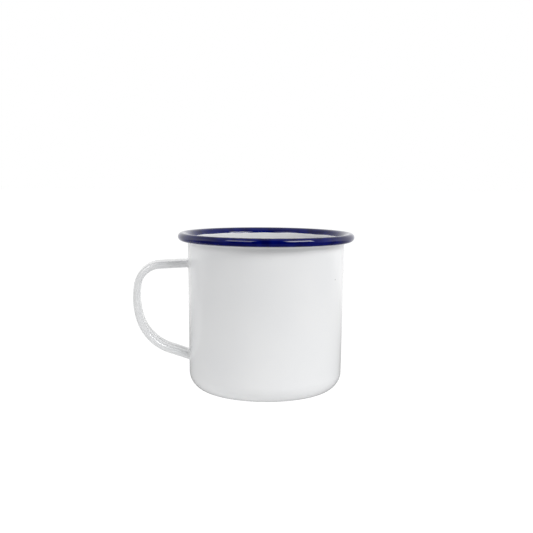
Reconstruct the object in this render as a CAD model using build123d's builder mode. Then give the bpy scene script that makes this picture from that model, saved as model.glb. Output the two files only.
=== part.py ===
"""Enamelled steel mug with a rolled blue rim and a welded strap handle.

The frame is in millimetres. Z is up, the origin is on the cup's axis in the plane the mug stands on,
and the handle lies in the XZ plane on the -X side.
"""

import os
from math import acos, asin, atan, cos, degrees, radians, sin, sqrt

from build123d import *

# ---- Driving dimensions -------------------------------------------------------------------------

height = 80.0  # standing plane to the crest of the rim
body_diameter = 79.7  # outside of the wall, at the level of the bead's centre
body_taper = 1.9  # the wall is this much narrower where the base corner starts
corner_radius = 9.0  # outside radius between wall and base
rim_overhang = 4.95  # the bead's outermost point, out from the wall
bead_diameter = 4.1  # rolled rim, over its enamel

steel = 0.6  # drawn sheet of the cup
enamel = 0.2  # fired coat on each side of every sheet

dish_height = 1.0  # rise of the middle of the base above the foot ring
dish_bend = 2.0  # mid-sheet radius of the two bends of the dish
foot_width = 5.0  # flat ring that the mug stands on

curl_turn = 270.0  # turn of the curl from the crest to the edge of its sheet
blue_depth = 2.8  # blue reaches this far below the crest inside the cup
blue_end = -88.0  # and to this angle on the bead outside, measured from the horizontal
pool_radius = 1.3  # concave pool of enamel where the bead meets the wall

strap_width = 14.0  # handle section over its enamel
strap_thickness = 3.45
strap_steel = 0.6  # sheet of the strap
strap_slot = 1.4  # gap between its two rolled edges, on the side that faces the cup

strap_drop = 15.5  # crest of the rim down to the centreline of the handle's upper end
strap_foot = 17.7  # standing plane up to the centreline of its lower end
strap_slope = 2.8  # fall of the upper arm
upper_arm = 14.25  # straight part of the upper arm, from the wall
knuckle_radius = 11.7
knuckle_turn = 77.4
back_turn = 25.5
sweep_radius = 24.1
sweep_turn = 55.5

weld_height = 0.6  # fused steel between the wall and the ends of the strap
weld_flash = 0.4  # how far it spreads beyond the strap's sheet
root_radius = 1.2  # concave pool of enamel round each end of the handle

# ---- Section of the cup, in radius and height ---------------------------------------------------

half = steel / 2  # mid-sheet to the face of the steel
skin = half + enamel  # mid-sheet to the face of the enamel

top_r = body_diameter / 2
base_r = top_r - body_taper / 2

bead_radius = bead_diameter / 2
bead_r = top_r + rim_overhang - bead_radius
bead_z = height - bead_radius
curl = bead_radius - skin  # mid-sheet radius of the curl
curl_end = 90 - curl_turn
crest_z = height - skin

lean = degrees(atan((top_r - base_r) / (bead_z - corner_radius)))
lean_sin, lean_cos = sin(radians(lean)), cos(radians(lean))

corner = corner_radius - skin
corner_r = base_r - corner_radius / lean_cos

# The flare is the arc that touches both the leaning wall and the level crest.
wall_reach = corner_r * lean_cos - corner_radius * lean_sin + corner
flare = (bead_r * lean_cos - crest_z * lean_sin - wall_reach) / (1 - lean_sin)
flare_z = crest_z - flare
blue_start = 180 - degrees(asin((height - blue_depth - flare_z) / (flare + skin)))

dish_turn = degrees(acos(1 - dish_height / (2 * dish_bend)))
foot_r = corner_r - foot_width  # inner edge of the foot ring
panel_r = foot_r - 2 * dish_bend * sin(radians(dish_turn))
panel_z = skin + dish_height


def polar(r, z, radius, angle):
    """The point at that radius and angle round the centre (r, z)."""
    return (r + radius * cos(radians(angle)), z + radius * sin(radians(angle)))


def wall_radius(side, z):
    """The radius of the wall at that height, where side is the distance outside mid-sheet."""
    return (wall_reach + side + z * lean_sin) / lean_cos


def base_skin(side):
    """Draws one face of the sheet from the axis to the foot of the wall."""
    Line((0, panel_z - side), (panel_r, panel_z - side))
    CenterArc((panel_r, panel_z - dish_bend), dish_bend - side, 90, -dish_turn)
    CenterArc((foot_r, skin + dish_bend), dish_bend + side, 270 - dish_turn, dish_turn)
    Line((foot_r, skin - side), (corner_r, skin - side))
    CenterArc((corner_r, corner_radius), corner + side, 270, 90 - lean)


def cup_skin(side, flare_end):
    """Draws one face of the sheet from the axis up to that angle on the flare."""
    base_skin(side)
    Line(
        polar(corner_r, corner_radius, corner + side, -lean),
        polar(bead_r, flare_z, flare - side, 180 - lean),
    )
    CenterArc((bead_r, flare_z), flare - side, 180 - lean, flare_end - 180 + lean)


def curl_skin(radius, start, end):
    """Draws an arc round the bead's centre."""
    CenterArc((bead_r, bead_z), radius, start, end - start)


def curl_edge(angle, inner, outer):
    """Draws a line straight across the bead's skin."""
    Line(polar(bead_r, bead_z, curl + inner, angle), polar(bead_r, bead_z, curl + outer, angle))


# ---- Cup of drawn steel, with its rim rolled outwards and down ----------------------------------

with BuildPart() as cup_shell:
    with BuildSketch(Plane.XZ):
        with BuildLine():
            cup_skin(half, 90)
            curl_skin(curl - half, 90, curl_end)
            curl_edge(curl_end, -half, half)
            curl_skin(curl + half, curl_end, 90)
            cup_skin(-half, 90)
            Line((0, panel_z - half), (0, panel_z + half))
        make_face()
    revolve(axis=Axis.Z)
cup_shell.part.label = "cup_shell"

# ---- White enamel inside the cup, up to the blue band -------------------------------------------

blue_edge = Line(
    polar(bead_r, flare_z, flare + half, blue_start),
    polar(bead_r, flare_z, flare + skin, blue_start),
)

with BuildPart() as inside_enamel:
    with BuildSketch(Plane.XZ):
        with BuildLine():
            cup_skin(-half, blue_start)
            cup_skin(-skin, blue_start)
            add(blue_edge)
            Line((0, panel_z + half), (0, panel_z + skin))
        make_face()
    revolve(axis=Axis.Z)
inside_enamel.part.label = "inside_enamel"

# ---- Blue enamel over the flare and round the bead ----------------------------------------------

with BuildPart() as rim_enamel:
    with BuildSketch(Plane.XZ):
        with BuildLine():
            for side in (half, skin):
                CenterArc((bead_r, flare_z), flare + side, blue_start, 90 - blue_start)
                curl_skin(curl + side, 90, blue_end)
            add(blue_edge)
            curl_edge(blue_end, half, skin)
        make_face()
    revolve(axis=Axis.Z)
rim_enamel.part.label = "rim_enamel"

# ---- Path and section of the handle -------------------------------------------------------------


def run(heading):
    """One millimetre along that heading, in the plane of the handle."""
    return Vector(cos(radians(heading)), 0, sin(radians(heading)))


def across(start, end):
    """The way across an arc of unit radius that turns from one heading to another."""
    return run(start + 90) - run(end + 90)


arm_heading = 180 + strap_slope
back_heading = arm_heading + knuckle_turn
sweep_heading = back_heading + back_turn
foot_heading = sweep_heading + sweep_turn

strap_top = height - strap_drop
upper_end = Vector(-wall_radius(skin, strap_top), 0, strap_top)
lower_end = Vector(-wall_radius(skin, strap_foot), 0, strap_foot)

# The back's radius and the lower arm's length are what bring the loop home to its lower end.
gap = lower_end - upper_end - run(arm_heading) * upper_arm
gap -= across(arm_heading, back_heading) * knuckle_radius
gap -= across(sweep_heading, foot_heading) * sweep_radius
back_chord = across(back_heading, sweep_heading)
share = back_chord.cross(run(foot_heading)).Y
back_radius = gap.cross(run(foot_heading)).Y / share
lower_arm = back_chord.cross(gap).Y / share

buried = strap_width**2 / (8 * base_r) + strap_thickness  # path inside the wall, where it is cut away

with BuildLine(Plane.XZ) as strap_path:
    arm = Line(upper_end - run(arm_heading) * buried, upper_end + run(arm_heading) * upper_arm)
    knuckle = JernArc(arm @ 1, arm % 1, knuckle_radius, knuckle_turn)
    back = JernArc(knuckle @ 1, knuckle % 1, back_radius, back_turn)
    bend = JernArc(back @ 1, back % 1, sweep_radius, sweep_turn)
    Line(bend @ 1, lower_end + run(foot_heading) * buried)

strap_plane = Plane(origin=arm @ 0, x_dir=(0, 1, 0), z_dir=arm % 0)


def flat_oval(beyond, mode=Mode.ADD):
    """Draws the strap's outline, that much beyond its steel."""
    width = strap_width - 2 * enamel + 2 * beyond
    SlotOverall(width, strap_thickness - 2 * enamel + 2 * beyond, mode=mode)


def rolled_strap(beyond, thickness):
    """Draws a flat tube with a slot on the cup's side, that much beyond the strap's steel."""
    flat_oval(beyond)
    flat_oval(beyond - thickness, mode=Mode.SUBTRACT)
    with Locations((0, strap_thickness / 2)):
        Rectangle(strap_slot - 2 * beyond, strap_thickness, mode=Mode.SUBTRACT)


def wall_core(side):
    """Draws half the section of a solid cup, out to that distance outside mid-sheet."""
    Polyline(
        (0, 0),
        (wall_radius(side, 0), 0),
        (wall_radius(side, bead_z), bead_z),
        (0, bead_z),
        close=True,
    )


with BuildPart() as steel_core:
    with BuildSketch(Plane.XZ):
        with BuildLine():
            wall_core(half)
        make_face()
    revolve(axis=Axis.Z)

with BuildPart() as weld_core:
    with BuildSketch(Plane.XZ):
        with BuildLine():
            wall_core(half + weld_height)
        make_face()
    revolve(axis=Axis.Z)

# ---- Handle strap: its long edges are rolled in until they nearly meet --------------------------

with BuildPart() as handle_strap:
    with BuildSketch(strap_plane):
        rolled_strap(0, strap_steel)
    sweep(path=strap_path.wire())
    add(weld_core.part, mode=Mode.SUBTRACT)
handle_strap.part.label = "handle_strap"

# ---- White enamel round the strap, over its rolled edges ----------------------------------------

with BuildPart() as handle_enamel:
    with BuildSketch(strap_plane):
        rolled_strap(enamel, enamel + strap_steel)
    sweep(path=strap_path.wire())
    add(weld_core.part, mode=Mode.SUBTRACT)
    add(handle_strap.part, mode=Mode.SUBTRACT)
handle_enamel.part.label = "handle_enamel"

# ---- Welds of the strap's two ends --------------------------------------------------------------

with BuildPart() as welds:
    with BuildSketch(strap_plane):
        rolled_strap(weld_flash, strap_steel + 2 * weld_flash)
    sweep(path=strap_path.wire())
    add(weld_core.part, mode=Mode.INTERSECT)
    add(steel_core.part, mode=Mode.SUBTRACT)

with BuildPart() as lower_weld:
    add(welds.solids().sort_by(Axis.Z)[0])
lower_weld.part.label = "lower_weld"

with BuildPart() as upper_weld:
    add(welds.solids().sort_by(Axis.Z)[-1])
upper_weld.part.label = "upper_weld"

# ---- White enamel outside the cup ---------------------------------------------------------------
# It pools where the bead meets the wall and round both ends of the handle.

pool_across = bead_r * lean_cos - bead_z * lean_sin - (wall_reach + skin) - pool_radius
pool_below = sqrt((bead_radius + pool_radius) ** 2 - pool_across**2)
pool_r = bead_r - pool_across * lean_cos - pool_below * lean_sin
pool_z = bead_z + pool_across * lean_sin - pool_below * lean_cos
pool_turn = degrees(atan(pool_below / pool_across)) - lean
curl_tip = polar(bead_r, bead_z, curl + half, curl_end)
pool_top = 180 - degrees(asin((curl_tip[1] - flare_z) / (flare - half)))
flare_tip = polar(bead_r, flare_z, flare - half, pool_top)

with BuildPart() as strap_envelope:
    with BuildSketch(strap_plane):
        flat_oval(enamel)
    sweep(path=strap_path.wire())

with BuildPart() as steel_envelope:
    with BuildSketch(Plane.XZ):
        with BuildLine():
            cup_skin(half, pool_top)
            Polyline(flare_tip, (0, flare_tip[1]), (0, panel_z - half))
        make_face()
    revolve(axis=Axis.Z)

with BuildPart() as outside_enamel:
    with BuildSketch(Plane.XZ):
        with BuildLine():
            base_skin(skin)
            Line(
                polar(corner_r, corner_radius, corner_radius, -lean),
                polar(pool_r, pool_z, pool_radius, 180 - lean),
            )
            CenterArc((pool_r, pool_z), pool_radius, pool_turn, 180 - lean - pool_turn)
            curl_skin(curl + skin, pool_turn - 180, blue_end)
            curl_edge(blue_end, half, skin)
            curl_skin(curl + half, curl_end, blue_end)
            Polyline(curl_tip, flare_tip, (0, flare_tip[1]), (0, dish_height))
        make_face()
    revolve(axis=Axis.Z)
    add(strap_envelope.part)
    fillet(outside_enamel.edges(Select.NEW), root_radius)
    add(strap_envelope.part, mode=Mode.SUBTRACT)
    add(steel_envelope.part, mode=Mode.SUBTRACT)
    add(welds.part, mode=Mode.SUBTRACT)
outside_enamel.part.label = "outside_enamel"

# ---- One STEP for each piece --------------------------------------------------------------------

pieces = [
    cup_shell,
    inside_enamel,
    outside_enamel,
    rim_enamel,
    handle_strap,
    handle_enamel,
    upper_weld,
    lower_weld,
]

os.makedirs("parts", exist_ok=True)
for piece in pieces:
    export_step(piece.part, f"parts/{piece.part.label}.step")
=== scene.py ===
"""White enamelled steel mug with a blue rolled rim and a strap handle, finished piece by piece."""

from math import acos, asin, atan, atan2, cos, degrees, exp, hypot, pi, radians, sin, sqrt

import bmesh
import bpy
from mathutils import Matrix, Quaternion, Vector, noise


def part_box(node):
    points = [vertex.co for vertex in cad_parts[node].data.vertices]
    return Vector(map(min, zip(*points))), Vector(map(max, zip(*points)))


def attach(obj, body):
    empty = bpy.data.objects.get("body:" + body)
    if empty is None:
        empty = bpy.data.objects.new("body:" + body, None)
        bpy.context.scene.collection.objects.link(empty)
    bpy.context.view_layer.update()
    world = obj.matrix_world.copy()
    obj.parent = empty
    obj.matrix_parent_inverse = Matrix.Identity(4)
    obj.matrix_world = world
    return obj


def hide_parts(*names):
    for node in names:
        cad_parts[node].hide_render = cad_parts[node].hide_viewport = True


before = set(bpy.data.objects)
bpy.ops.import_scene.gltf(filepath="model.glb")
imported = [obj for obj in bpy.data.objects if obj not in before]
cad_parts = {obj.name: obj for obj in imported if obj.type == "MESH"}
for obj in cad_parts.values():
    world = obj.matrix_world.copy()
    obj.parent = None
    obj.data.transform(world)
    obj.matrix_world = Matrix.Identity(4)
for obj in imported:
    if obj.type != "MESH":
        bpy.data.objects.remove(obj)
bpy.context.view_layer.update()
mm = 0.001

# ---- Cup, strap and welds: bare steel -----------------------------------------------------------
# The cup is drawn from 0.6 mm sheet and its rim is rolled outwards and down. The strap is bent from a strip
# with rolled edges, and welded on at both ends. All of it is pickled grey before it is enamelled.

steel_light = (0.34, 0.35, 0.36, 1.0)
steel_dark = (0.16, 0.16, 0.165, 1.0)
steel_grain = 900.0  # drawing marks per metre, round the cup
drawn_out = 0.04  # and how much fewer there are along it
scale_spots = 140.0  # blotches of mill scale per metre
grain_depth = 0.03 * mm
darkest, lightest = 0.12, 0.38  # the steel goes from dark to light between these, grain times scale
noise_low, noise_high = 0.3, 0.7  # nearly all of a noise lies between these
steel_roughness = (0.34, 0.52)


def node(tree, kind, inputs=None, **settings):
    """Adds a shader node, with its settings, and sets or links the inputs that are given."""
    made = tree.nodes.new(kind)
    for key, value in settings.items():
        setattr(made, key, value)
    for socket, value in (inputs or {}).items():
        if isinstance(value, bpy.types.NodeSocket):
            tree.links.new(value, made.inputs[socket])
        else:
            made.inputs[socket].default_value = value
    return made


def spread(tree, value, low, high, to_low, to_high):
    """Stretches a value from one range to another, and stops it at both ends."""
    limits = {"Value": value, "From Min": low, "From Max": high, "To Min": to_low, "To Max": to_high}
    return node(tree, "ShaderNodeMapRange", limits).outputs["Result"]


def work(tree, operation, first, second):
    """Does a sum on two values."""
    return node(tree, "ShaderNodeMath", {0: first, 1: second}, operation=operation).outputs[0]


def blended(tree, mask, first, second):
    """Goes from one colour to another as the mask goes from 0 to 1."""
    return node(tree, "ShaderNodeMix", {0: mask, 6: first, 7: second}, data_type="RGBA").outputs[2]


def new_material(name, **constants):
    """A material, the constant sockets of its shader, and the piece's own coordinates."""
    material = bpy.data.materials.new(name)
    material.use_nodes = True
    shader = material.node_tree.nodes["Principled BSDF"]
    for socket, value in constants.items():
        shader.inputs[socket.replace("_", " ")].default_value = value
    place = node(material.node_tree, "ShaderNodeTexCoord").outputs["Object"]
    return material, material.node_tree, shader, place


steel, tree, shader, place = new_material("pickled_steel", Metallic=1.0)
along = node(tree, "ShaderNodeMapping", {"Vector": place, "Scale": (1.0, 1.0, drawn_out)}).outputs[0]
grain = node(tree, "ShaderNodeTexNoise", {"Vector": along, "Scale": steel_grain, "Detail": 6.0}).outputs[0]
scale = node(tree, "ShaderNodeTexNoise", {"Vector": place, "Scale": scale_spots, "Detail": 3.0}).outputs[0]
tone = spread(tree, work(tree, "MULTIPLY", grain, scale), darkest, lightest, 0.0, 1.0)
marks = node(tree, "ShaderNodeBump", {"Height": grain, "Strength": 0.4, "Distance": grain_depth})
tree.links.new(blended(tree, tone, steel_dark, steel_light), shader.inputs["Base Color"])
patchy = spread(tree, scale, noise_low, noise_high, *steel_roughness)
tree.links.new(patchy, shader.inputs["Roughness"])
tree.links.new(marks.outputs["Normal"], shader.inputs["Normal"])

for bare in ("cup_shell", "handle_strap", "upper_weld", "lower_weld"):
    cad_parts[bare].data.materials.clear()
    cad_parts[bare].data.materials.append(steel)

# ---- Inside coat: white enamel ------------------------------------------------------------------
# White glass 0.2 mm thick, poured in, drained and fired onto the steel. It covers the inside from the
# floor up over the flare, where the blue laps over it. It has settled a little unevenly, as glass does.

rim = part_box("rim_enamel")[1]
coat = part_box("cup_shell")[0].z  # the steel stands this far off the table, on its enamel
wall_top = 39.85 * mm  # outside of the wall, level with the bead's centre
wall_foot = 38.9 * mm  # and level with the centre of the base corner
half = 0.3 * mm  # half of the steel's thickness
skin = half + coat  # middle of the steel to the face of the enamel
bead_radius = 2.05 * mm
corner_radius = 9.0 * mm
dish_height = 1.0 * mm
dish_bend = 2.0 * mm
foot_width = 5.0 * mm
blue_depth = 2.8 * mm  # the blue reaches this far below the crest inside
tucked = 12.0  # degrees that the white runs on under it

bead_r = rim.x - bead_radius
bead_z = rim.z - bead_radius
lean = atan((wall_top - wall_foot) / (bead_z - corner_radius))
upright = 180 - degrees(lean)  # where a bend of the section meets the wall
corner = corner_radius - skin
corner_r = wall_foot - corner_radius / cos(lean)
wall_reach = corner_r * cos(lean) - corner_radius * sin(lean) + corner
flare = (bead_r * cos(lean) - (rim.z - skin) * sin(lean) - wall_reach) / (1 - sin(lean))
flare_z = rim.z - skin - flare
blue_start = 180 - degrees(asin((rim.z - blue_depth - flare_z) / (flare + skin)))
dish_turn = degrees(acos(1 - dish_height / (2 * dish_bend)))
foot_r = corner_r - foot_width
panel_r = foot_r - 2 * dish_bend * sin(radians(dish_turn))
panel_z = skin + dish_height

facets = 288  # round the cup
same_point = 0.001 * mm  # points nearer than this are one
sharpest = 50.0  # degrees; an edge that turns further stays sharp
swell_width = 17.0 * mm  # how far apart the coat's slow swells are
swell_depth = 0.028 * mm
ripples, ripple_cut = 3, 4  # finer swells in each slow one, and how many times shallower they are
settle_seed = 80


def spot(r, z):
    """A point of the cup's section."""
    return Vector((r, 0.0, z))


def polar(r, z, radius, angle):
    """A point of the section, by its radius and its angle in degrees round the centre (r, z)."""
    return spot(r + radius * cos(radians(angle)), z + radius * sin(radians(angle)))


def draw_to(made, tip, end, pieces):
    """Draws the section's tip out in a straight line."""
    step = (end - tip.co) / pieces
    for _ in range(pieces):
        tip = bmesh.ops.extrude_vert_indiv(made, verts=[tip])["verts"][0]
        bmesh.ops.translate(made, verts=[tip], vec=step)
    return tip


def swing(made, tip, centre, turn, pieces, axis=(0, -1, 0)):
    """Swings the section's tip round a centre, by so many degrees."""
    last = bmesh.ops.spin(made, geom=[tip], cent=centre, axis=axis, angle=radians(turn), steps=pieces)
    return last["geom_last"][0]


def draw_base(made, side):
    """Draws a face of the sheet from the axis over the dish, the foot ring and the base corner."""
    tip = made.verts.new(spot(0, panel_z - side))
    tip = draw_to(made, tip, spot(panel_r, panel_z - side), pieces=8)
    tip = swing(made, tip, spot(panel_r, panel_z - dish_bend), -dish_turn, pieces=6)
    tip = swing(made, tip, spot(foot_r, skin + dish_bend), dish_turn, pieces=6)
    tip = draw_to(made, tip, spot(corner_r, skin - side), pieces=3)
    return swing(made, tip, spot(corner_r, corner_radius), upright - 90, pieces=18)


def turned(made):
    """Spins the section round the cup's axis."""
    section = made.verts[:] + made.edges[:]
    bmesh.ops.spin(
        made, geom=section, cent=(0, 0, 0), axis=(0, 0, 1), angle=2 * pi, steps=facets, use_merge=True
    )
    bmesh.ops.remove_doubles(made, verts=made.verts, dist=same_point)
    bmesh.ops.recalc_face_normals(made, faces=made.faces)


noise.seed_set(settle_seed)


def settle(made):
    """Moves every point a little, as fired glass settles, but none through the table or over the rim."""
    for vert in made.verts:
        sway = noise.noise_vector(vert.co / swell_width)
        sway += noise.noise_vector(vert.co * ripples / swell_width) / ripple_cut
        sway.z *= min(vert.co.z, rim.z - vert.co.z) / rim.z
        vert.co += sway * swell_depth


def finished(name, made, material, slot, *nodes):
    """Makes the skin into a smooth piece of the mug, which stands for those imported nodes."""
    mesh = bpy.data.meshes.new(name)
    made.to_mesh(mesh)
    made.free()
    mesh.shade_smooth()
    mesh.set_sharp_from_angle(angle=radians(sharpest))
    mesh.materials.append(material)
    piece = bpy.data.objects.new(name, mesh)
    bpy.context.scene.collection.objects.link(piece)
    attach(piece, "root")
    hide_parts(*nodes)


def effect(name, inputs, outputs):
    """An empty shader node group, its inputs with their values, and its outputs."""
    group = bpy.data.node_groups.new(name, "ShaderNodeTree")
    group.interface.new_socket("Place", in_out="INPUT", socket_type="NodeSocketVector")
    for label, value in inputs.items():
        socket = group.interface.new_socket(label, in_out="INPUT", socket_type="NodeSocketFloat")
        socket.default_value = value
    for label in outputs:
        group.interface.new_socket(label, in_out="OUTPUT", socket_type="NodeSocketFloat")
    return group, group.nodes.new("NodeGroupInput").outputs, group.nodes.new("NodeGroupOutput").inputs


# Fired glass is never quite level: it has a fine peel over a slower swell, and faint clouds in its colour.
peel_share = 0.16  # the peel's height, next to the swell's
fired_glass, given, gives = effect(
    "fired_glass", {"Peel": 420.0, "Swell": 70.0, "Cloud": 38.0}, ("Height", "Cloud")
)
peel = node(fired_glass, "ShaderNodeTexNoise", {"Vector": given["Place"], "Scale": given["Peel"]})
swell = node(
    fired_glass, "ShaderNodeTexNoise", {"Vector": given["Place"], "Scale": given["Swell"], "Detail": 1.0}
)
cloud = node(
    fired_glass, "ShaderNodeTexNoise", {"Vector": given["Place"], "Scale": given["Cloud"], "Detail": 4.0}
)
fine = work(fired_glass, "MULTIPLY", peel.outputs[0], peel_share)
fired_glass.links.new(work(fired_glass, "ADD", fine, swell.outputs[0]), gives["Height"])
fired_glass.links.new(cloud.outputs[0], gives["Cloud"])

# Pinholes are bubbles that burst in the kiln, and show the dark ground coat as dots of several sizes.
core_share = 0.5  # the part of a dot that is fully dark
pinholes, given, gives = effect("pinholes", {"Crowding": 90.0, "Width": 0.03}, ("Mask",))
cells = node(pinholes, "ShaderNodeTexVoronoi", {"Vector": given["Place"], "Scale": given["Crowding"]})
luck = node(pinholes, "ShaderNodeSeparateColor", {"Color": cells.outputs["Color"]}).outputs["Red"]
reach = work(pinholes, "MULTIPLY", given["Width"], luck)
core = work(pinholes, "MULTIPLY", reach, core_share)
pinholes.links.new(spread(pinholes, cells.outputs["Distance"], reach, core, 0.0, 1.0), gives["Mask"])

white_full = (0.80, 0.805, 0.81, 1.0)
white_thin = (0.74, 0.75, 0.77, 1.0)  # where the coat is thin, the ground coat greys it; at the foot the same grey is painted shade
ground_coat = (0.03, 0.033, 0.045, 1.0)
cloud_low, cloud_high = 0.35, 0.75  # the clouds' noise, from clear to thickest
cloud_tint = 0.35  # how thin the coat looks where they are thickest
hole_depth = -0.6  # next to the swell's height
white_relief = 0.06 * mm
relief_strength = 0.5
white_roughness = (0.05, 0.10)


def white_enamel(name, dots):
    """Glossy white glass over a dark ground coat, greyer where the coat is thin, and greyed at the foot as
    painted shade.
    """
    material, tree, shader, place = new_material(name, IOR=1.52)
    glass = node(tree, "ShaderNodeGroup", node_tree=fired_glass)
    holes = node(tree, "ShaderNodeGroup", node_tree=pinholes)
    holes.inputs["Width"].default_value = dots
    for group in (glass, holes):
        tree.links.new(place, group.inputs["Place"])
    thin = node(tree, "ShaderNodeAttribute", attribute_name="thin").outputs["Fac"]
    cloudy = spread(tree, glass.outputs["Cloud"], cloud_low, cloud_high, 0.0, cloud_tint)
    body = blended(tree, work(tree, "ADD", thin, cloudy), white_full, white_thin)
    sunk = work(tree, "MULTIPLY", holes.outputs["Mask"], hole_depth)
    level = work(tree, "ADD", glass.outputs["Height"], sunk)
    bump = {"Height": level, "Strength": relief_strength, "Distance": white_relief}
    relief = node(tree, "ShaderNodeBump", bump)
    dotted = blended(tree, holes.outputs["Mask"], body, ground_coat)
    tree.links.new(dotted, shader.inputs["Base Color"])
    gloss = spread(tree, glass.outputs["Cloud"], noise_low, noise_high, *white_roughness)
    tree.links.new(gloss, shader.inputs["Roughness"])
    tree.links.new(relief.outputs["Normal"], shader.inputs["Normal"])
    return material


inside_coat = bmesh.new()
tip = draw_base(inside_coat, -skin)
tip = draw_to(inside_coat, tip, polar(bead_r, flare_z, flare + skin, upright), pieces=26)
swing(inside_coat, tip, spot(bead_r, flare_z), blue_start - tucked - upright, pieces=14)
turned(inside_coat)
bmesh.ops.solidify(inside_coat, geom=inside_coat.faces[:], thickness=coat)
settle(inside_coat)
white_inside = white_enamel("white_enamel_inside", dots=0.03)
finished("inside_coat", inside_coat, white_inside, "white_enamel", "inside_enamel")

# ---- Outside coat: white enamel -----------------------------------------------------------------
# The same white glass outside, from under the dished base up the wall. It ran into the crease below the
# rolled bead and filled it with a smooth hollow. It laps a little way up the bead, under the blue.

pool_radius = 1.3 * mm
blue_end = -88.0  # degrees above level, round the bead's outside, where the blue stops
foot_wear = 3.0  # the foot ring and the corner beside it, up to about this height, are greyed: partly rubbed thin, partly painted shade where the mug meets the table
foot_fade = 0.35 * mm

pool_across = bead_r * cos(lean) - bead_z * sin(lean) - wall_reach - skin - pool_radius
pool_below = sqrt((bead_radius + pool_radius) ** 2 - pool_across**2)
pool_r = bead_r - pool_across * cos(lean) - pool_below * sin(lean)
pool_z = bead_z + pool_across * sin(lean) - pool_below * cos(lean)
pool_turn = degrees(atan(pool_below / pool_across) - lean)

outside_coat = bmesh.new()
tip = draw_base(outside_coat, skin)
tip = draw_to(outside_coat, tip, polar(pool_r, pool_z, pool_radius, upright), pieces=30)
tip = swing(outside_coat, tip, spot(pool_r, pool_z), pool_turn - upright, pieces=14)
swing(outside_coat, tip, spot(bead_r, bead_z), blue_end + tucked + 180 - pool_turn, pieces=16)
turned(outside_coat)
bmesh.ops.reverse_faces(outside_coat, faces=outside_coat.faces)  # its lap under the bead faces down
# Greyer at the foot: partly the coat rubbed thin, partly painted shade where the mug meets the table.
thin = outside_coat.verts.layers.float.new("thin")
for vert in outside_coat.verts:
    vert[thin] = foot_wear * exp(-vert.co.z / foot_fade)
bmesh.ops.solidify(outside_coat, geom=outside_coat.faces[:], thickness=coat)
settle(outside_coat)
white_outside = white_enamel("white_enamel_outside", dots=0.036)
finished("outside_coat", outside_coat, white_outside, "white_enamel", "outside_enamel")

# ---- Handle coat: white enamel round the strap --------------------------------------------------
# The strap's long edges are rolled in towards the cup until they nearly meet, so the handle is a flat tube
# with full round sides and a narrow seam on its inner face. The enamel wraps it and rounds off the seam.

strap_width = 14.0 * mm
strap_thickness = 3.45 * mm
seam = 1.0 * mm  # gap between the coated edges
lip = 0.35 * mm  # radius that the glass leaves on them
seam_depth = 0.8 * mm  # steel and glass that show in the gap
strap_top = rim.z - 15.5 * mm
strap_foot = 17.7 * mm
arm_heading = 182.8  # degrees, from +X round towards +Z
upper_arm = 14.25 * mm  # then three bends of one sense, by their radius and their turn in degrees
knuckle_radius, knuckle_turn = 11.7 * mm, 77.4
back_turn = 25.5
sweep_radius, sweep_turn = 24.1 * mm, 55.5

side = strap_thickness / 2  # radius of the round sides
flat = strap_width / 2 - side  # half of the flat between them
over = Vector((0, 1, 0))  # across the strap


def run(heading):
    """One metre along that heading, in the plane of the handle."""
    return spot(cos(radians(heading)), sin(radians(heading)))


def wall_radius(beyond, z):
    """The radius of the wall at that height, so far outside the middle of the steel."""
    return (wall_reach + beyond + z * sin(lean)) / cos(lean)


def seat(point, way, beyond, tries=8):
    """Slides a point along that way until it lies on the wall."""
    for _ in range(tries):
        point = point + way * (hypot(point.x, point.y) - wall_radius(beyond, point.z)) / abs(way.x)
    return point


back_heading = arm_heading + knuckle_turn
sweep_heading = back_heading + back_turn
foot_heading = sweep_heading + sweep_turn
turns = (arm_heading, back_heading, sweep_heading, foot_heading)
arm_side, back_side, sweep_side, foot_side = (run(heading + 90) for heading in turns)
upper_end = spot(-wall_radius(skin, strap_top), strap_top)
lower_end = spot(-wall_radius(skin, strap_foot), strap_foot)

# The back's radius and the lower arm's length are what bring the loop home to its lower end.
gap = lower_end - upper_end - run(arm_heading) * upper_arm
gap -= (arm_side - back_side) * knuckle_radius + (sweep_side - foot_side) * sweep_radius
back_chord = back_side - sweep_side
share = back_chord.cross(run(foot_heading)).y
back_radius = gap.cross(run(foot_heading)).y / share
lower_arm = back_chord.cross(gap).y / share


def draw_side(made, start, heading, grown=0.0):
    """Draws the strap's outer face and round side on one half, so much larger all round."""
    out = run(heading - 90)
    tip = made.verts.new(start + out * (side + grown))
    tip = draw_to(made, tip, tip.co + over * flat, pieces=8)
    return swing(made, tip, start + over * flat, 180, pieces=20, axis=run(heading))


def other_half(made):
    """Mirrors a half section over the plane of the handle."""
    bmesh.ops.mirror(made, geom=made.verts[:] + made.edges[:], axis="Y", merge_dist=same_point)


def edges_of(geometry):
    """Only the edges."""
    return [part for part in geometry if isinstance(part, bmesh.types.BMEdge)]


def points_of(edges):
    """The ends of all the edges."""
    return list({vert for edge in edges for vert in edge.verts})


def draw_on(made, edges, way, pieces):
    """Draws a whole section on in a straight line."""
    for _ in range(pieces):
        grown = bmesh.ops.extrude_edge_only(made, edges=edges)["geom"]
        points = {part for part in grown if isinstance(part, bmesh.types.BMVert)}
        bmesh.ops.translate(made, verts=list(points), vec=way / pieces)
        edges = [edge for edge in edges_of(grown) if set(edge.verts) <= points]
    return edges


def bend_on(made, edges, centre, turn, pieces):
    """Bends a whole section on, round a centre in the plane of the handle."""
    section = edges + points_of(edges)
    last = bmesh.ops.spin(
        made, geom=section, cent=centre, axis=(0, -1, 0), angle=radians(turn), steps=pieces
    )
    return edges_of(last["geom_last"])


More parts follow.
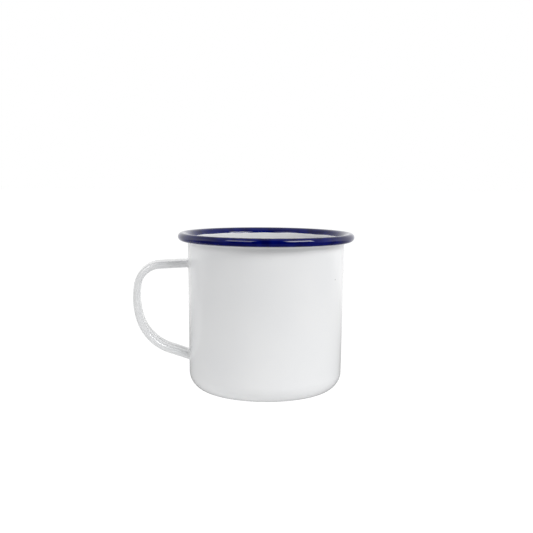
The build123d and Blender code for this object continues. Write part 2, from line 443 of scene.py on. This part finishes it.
handle_coat = bmesh.new()
tip = draw_side(handle_coat, upper_end, arm_heading)
tip = draw_to(handle_coat, tip, upper_end + arm_side * side + over * (seam / 2 + lip), pieces=7)
lip_centre = upper_end + arm_side * (side - lip) + over * (seam / 2 + lip)
tip = swing(handle_coat, tip, lip_centre, 90, pieces=5, axis=run(arm_heading))
draw_to(handle_coat, tip, upper_end + arm_side * (side - seam_depth) + over * seam / 2, pieces=2)
other_half(handle_coat)

upper_points = handle_coat.verts[:]
corner_1 = upper_end + run(arm_heading) * upper_arm
corner_2 = corner_1 + (arm_side - back_side) * knuckle_radius
corner_3 = corner_2 + (back_side - sweep_side) * back_radius
edges = draw_on(handle_coat, handle_coat.edges[:], run(arm_heading) * upper_arm, pieces=14)
edges = bend_on(handle_coat, edges, corner_1 + arm_side * knuckle_radius, knuckle_turn, pieces=30)
edges = bend_on(handle_coat, edges, corner_2 + back_side * back_radius, back_turn, pieces=18)
edges = bend_on(handle_coat, edges, corner_3 + sweep_side * sweep_radius, sweep_turn, pieces=28)
edges = draw_on(handle_coat, edges, run(foot_heading) * lower_arm, pieces=12)
for points, way in ((upper_points, -run(arm_heading)), (points_of(edges), run(foot_heading))):
    for vert in points:
        vert.co = seat(vert.co, way, half)
bmesh.ops.recalc_face_normals(handle_coat, faces=handle_coat.faces)
bmesh.ops.solidify(handle_coat, geom=handle_coat.faces[:], thickness=coat)
settle(handle_coat)
white_handle = white_enamel("white_enamel_handle", dots=0.036)
finished("handle_coat", handle_coat, white_handle, "white_enamel", "handle_enamel")

# ---- Root pools: white enamel round both ends of the handle -------------------------------------
# Glass gathers over each weld, in the corner between the strap and the wall, and leaves a small hollow
# round. It is one coat with the wall's own.

root_radius = 1.2 * mm
behind = 0.25 * mm  # how deep a pool's back lies behind the faces that it joins
hollow_step = 9  # degrees from ring to ring


def root_pool(name, start, heading, material):
    """Glass round one end of the strap, in rings from the strap's face out to the wall's."""
    made = bmesh.new()
    way = run(heading)
    hollow = [radians(turn) for turn in range(0, 91, hollow_step)]
    rings = [(root_radius * (1 - cos(turn)), root_radius * (1 - sin(turn))) for turn in hollow]
    rings += [(root_radius, -behind), (-behind, -behind), (-behind, root_radius)]
    loops = []
    for grown, raised in rings:
        ring = bmesh.new()
        tip = draw_side(ring, start, heading, grown)
        draw_to(ring, tip, start - run(heading - 90) * (side + grown), pieces=8)
        other_half(ring)
        for vert in ring.verts:
            vert.co = seat(vert.co, -way, skin) + way * raised
        mesh = bpy.data.meshes.new("ring")
        ring.to_mesh(mesh)
        ring.free()
        known = len(made.edges)
        made.from_mesh(mesh)
        bpy.data.meshes.remove(mesh)
        made.edges.ensure_lookup_table()
        loops.append(made.edges[known:])
    for inner, outer in zip(loops, loops[1:] + loops[:1]):
        bmesh.ops.bridge_loops(made, edges=inner + outer)
    bmesh.ops.recalc_face_normals(made, faces=made.faces)
    settle(made)
    finished(name, made, material, "white_enamel", "outside_enamel")


root_pool("upper_root_pool", upper_end, arm_heading, white_outside)
root_pool("lower_root_pool", lower_end, foot_heading + 180, white_outside)

# ---- Rim coat: blue enamel over the flare and round the bead ------------------------------------
# Cobalt blue glass, brushed over the fired white and fired again. Its edges waver with the brush and stand
# a little proud of the white, and the glass is lighter there, where it is thin.

blue_radius = flare + skin
proud = 0.05 * mm
lap = 0.5 * mm  # from the edge of the blue to its highest
edge_sink = 0.03 * mm  # its very edge starts under the white's face
sunk_for = 0.2 * lap
thin_for = 0.4 * lap  # how far in from its edge the glass is thin
inner_edge, outer_edge = 5, 12  # degrees that are drawn more finely, next to each edge
waver = 4.5  # degrees that the edge wanders either way, inside
drip = 3.5  # and under the bead
waves = 9.0
broad, finer = 3, 0.5  # broader waves, so many times wider, and the height of the others next to them


def lapped(distance):
    """How far the blue stands above the white, that far in from its edge."""
    return proud * distance / lap * exp(1 - distance / lap) - edge_sink * exp(-distance / sunk_for)


rim_coat = bmesh.new()
tip = rim_coat.verts.new(polar(bead_r, flare_z, blue_radius, blue_start))
tip = swing(rim_coat, tip, spot(bead_r, flare_z), -inner_edge, pieces=5)
tip = swing(rim_coat, tip, spot(bead_r, flare_z), 90 + inner_edge - blue_start, pieces=16)
tip = swing(rim_coat, tip, spot(bead_r, bead_z), blue_end + outer_edge - 90, pieces=42)
swing(rim_coat, tip, spot(bead_r, bead_z), -outer_edge, pieces=6)
turned(rim_coat)
thin = rim_coat.verts.layers.float.new("thin")
for vert in rim_coat.verts:
    radius, azimuth = hypot(vert.co.x, vert.co.y), atan2(vert.co.y, vert.co.x)
    inside = radius < bead_r
    centre = flare_z if inside else bead_z
    angle = degrees(atan2(vert.co.z - centre, radius - bead_r))
    reach = blue_start - angle if inside else angle - blue_end
    distance = radians(reach) * (blue_radius if inside else bead_radius)
    along, edge = spot(cos(azimuth), sin(azimuth)) * waves, Vector((0, centre / mm, 0))
    brush = noise.noise(along / broad + edge) + finer * noise.noise(along + edge)
    angle += brush * (waver if inside else drip) * exp(-distance / mm)
    moved = polar(bead_r, centre, (blue_radius if inside else bead_radius) + lapped(distance), angle)
    vert.co = Matrix.Rotation(azimuth, 3, "Z") @ moved
    vert[thin] = exp(-distance / thin_for)
bmesh.ops.solidify(rim_coat, geom=rim_coat.faces[:], thickness=coat)
settle(rim_coat)

blue_deep = (0.0, 0.001, 0.06, 1.0)
blue_bright = (0.0, 0.003, 0.11, 1.0)
blue_thin = (0.012, 0.03, 0.24, 1.0)
mottle_low, mottle_high = 0.38, 0.62
blue_relief = 0.04 * mm
blue_roughness = (0.04, 0.09)
blue_enamel, tree, shader, place = new_material("blue_enamel", IOR=1.5)
glass = node(tree, "ShaderNodeGroup", {"Place": place, "Swell": 95.0, "Cloud": 210.0}, node_tree=fired_glass)
mottled = spread(tree, glass.outputs["Cloud"], mottle_low, mottle_high, 0.0, 1.0)
body = blended(tree, mottled, blue_deep, blue_bright)
thinned = node(tree, "ShaderNodeAttribute", attribute_name="thin").outputs["Fac"]
bump = {"Height": glass.outputs["Height"], "Strength": relief_strength, "Distance": blue_relief}
relief = node(tree, "ShaderNodeBump", bump)
tree.links.new(blended(tree, thinned, body, blue_thin), shader.inputs["Base Color"])
gloss = spread(tree, glass.outputs["Cloud"], noise_low, noise_high, *blue_roughness)
tree.links.new(gloss, shader.inputs["Roughness"])
tree.links.new(relief.outputs["Normal"], shader.inputs["Normal"])
finished("rim_coat", rim_coat, blue_enamel, "blue_enamel", "rim_enamel")

# ---- Table, light and camera --------------------------------------------------------------------
# A plain white table that ends a little in front of the mug, in a room whose walls are white and lit
# behind the mug and dark in front of it, with two softboxes in front of the mug and above it.

table_front = -0.23  # the table's front edge, and its size
table_size = 6.0
glow = 1.0  # light that comes up through the table
gloss_front, gloss_back = 0.02, 0.9  # what shows of it in the mug's gloss, in front of the mug and behind
gloss_run = 0.3  # how far behind the mug's middle it is at its brightest
contact_shade = 4.0 * mm  # width of the mug's own shadow round its foot, and the light left in it
contact_light = 0.1

table = bmesh.new()
bmesh.ops.create_grid(table, x_segments=1, y_segments=1, size=table_size / 2)
bmesh.ops.translate(table, verts=table.verts, vec=(0, table_front + table_size / 2, 0))
mesh = bpy.data.meshes.new("table")
table.to_mesh(mesh)
table.free()
table_top = bpy.data.objects.new("table", mesh)
bpy.context.scene.collection.objects.link(table_top)
white_table, tree, shader, place = new_material(
    "white_table",
    Base_Color=(0.08, 0.08, 0.08, 1.0),
    Roughness=0.9,
    Specular_IOR_Level=0.0,
    Emission_Color=(1.0, 1.0, 1.0, 1.0),
)
path = node(tree, "ShaderNodeLightPath").outputs
depth = node(tree, "ShaderNodeSeparateXYZ", {0: place}).outputs["Y"]
gloss_glow = spread(tree, depth, 0.0, gloss_run, gloss_front, gloss_back)
lit = spread(tree, path["Is Glossy Ray"], 0.0, 1.0, glow, gloss_glow)
from_axis = node(tree, "ShaderNodeVectorMath", {0: place}, operation="LENGTH").outputs["Value"]
shade = spread(tree, from_axis, corner_r, corner_r + contact_shade, contact_light, 1.0)
lit = work(tree, "MULTIPLY", lit, shade)
tree.links.new(work(tree, "MAXIMUM", lit, path["Is Camera Ray"]), shader.inputs["Emission Strength"])
mesh.materials.append(white_table)

aim = Vector((0.3, 0.0, 62.48)) * mm  # the middle of what is looked at
softbox_width, softbox_height, softbox_distance = 0.57, 0.42, 1.0


def round_the_mug(azimuth, elevation, distance):
    """A place round the mug: azimuth 0 is in front, on -Y, and 90 is on +X."""
    turn, rise = radians(azimuth), radians(elevation)
    return aim + Vector((sin(turn) * cos(rise), -cos(turn) * cos(rise), sin(rise))) * distance


def softbox(name, azimuth, elevation, watts):
    """A softbox at its distance from the mug, and turned to it."""
    lamp = bpy.data.lights.new(name, "AREA")
    lamp.shape = "RECTANGLE"
    lamp.size, lamp.size_y = softbox_width, softbox_height
    lamp.energy = watts
    holder = bpy.data.objects.new(name, lamp)
    holder.location = round_the_mug(azimuth, elevation, softbox_distance)
    holder.rotation_euler = (holder.location - aim).to_track_quat("Z", "Y").to_euler()
    bpy.context.scene.collection.objects.link(holder)


softbox("left_softbox", azimuth=-42.0, elevation=35.5, watts=3.0)
softbox("right_softbox", azimuth=42.6, elevation=35.5, watts=6.8)

dark_before, light_behind = -0.65, 0.05  # along Y, where the room's walls go from dark to light
wall_high, ceiling = 0.3, 0.7  # along Z, where they go over into the ceiling
ceiling_light = 0.4

room = bpy.data.worlds.new("white_room")
room.use_nodes = True
bpy.context.scene.world = room
tree = room.node_tree
direction = node(tree, "ShaderNodeTexCoord").outputs["Generated"]
towards = node(tree, "ShaderNodeSeparateXYZ", {0: direction}).outputs
behind_mug = spread(tree, towards["Y"], dark_before, light_behind, 0.0, 1.0)
below_top = spread(tree, towards["Z"], wall_high, ceiling, 1.0, ceiling_light)
wall_light = work(tree, "MULTIPLY", behind_mug, below_top)
seen = node(tree, "ShaderNodeLightPath").outputs["Is Camera Ray"]
backdrop = tree.nodes["Background"]
backdrop.inputs["Color"].default_value = (1.0, 1.0, 1.0, 1.0)
tree.links.new(work(tree, "MAXIMUM", wall_light, seen), backdrop.inputs["Strength"])

lens = 57.42  # millimetres, on a sensor 36 wide
lean_right = 0.0078  # radians that the camera is turned about its own line of sight

camera = bpy.data.objects.new("camera", bpy.data.cameras.new("camera"))
camera.data.lens = lens
camera.data.sensor_width = 36.0
camera.data.clip_start = 0.01
camera.location = round_the_mug(azimuth=-5.386, elevation=6.08, distance=0.4351)
level = (camera.location - aim).to_track_quat("Z", "Y")
tilt = Quaternion((0, 0, 1), lean_right)
camera.rotation_euler = (level @ tilt).to_euler()
bpy.context.scene.collection.objects.link(camera)
bpy.context.scene.camera = camera
bpy.context.scene.view_settings.view_transform = "Standard"
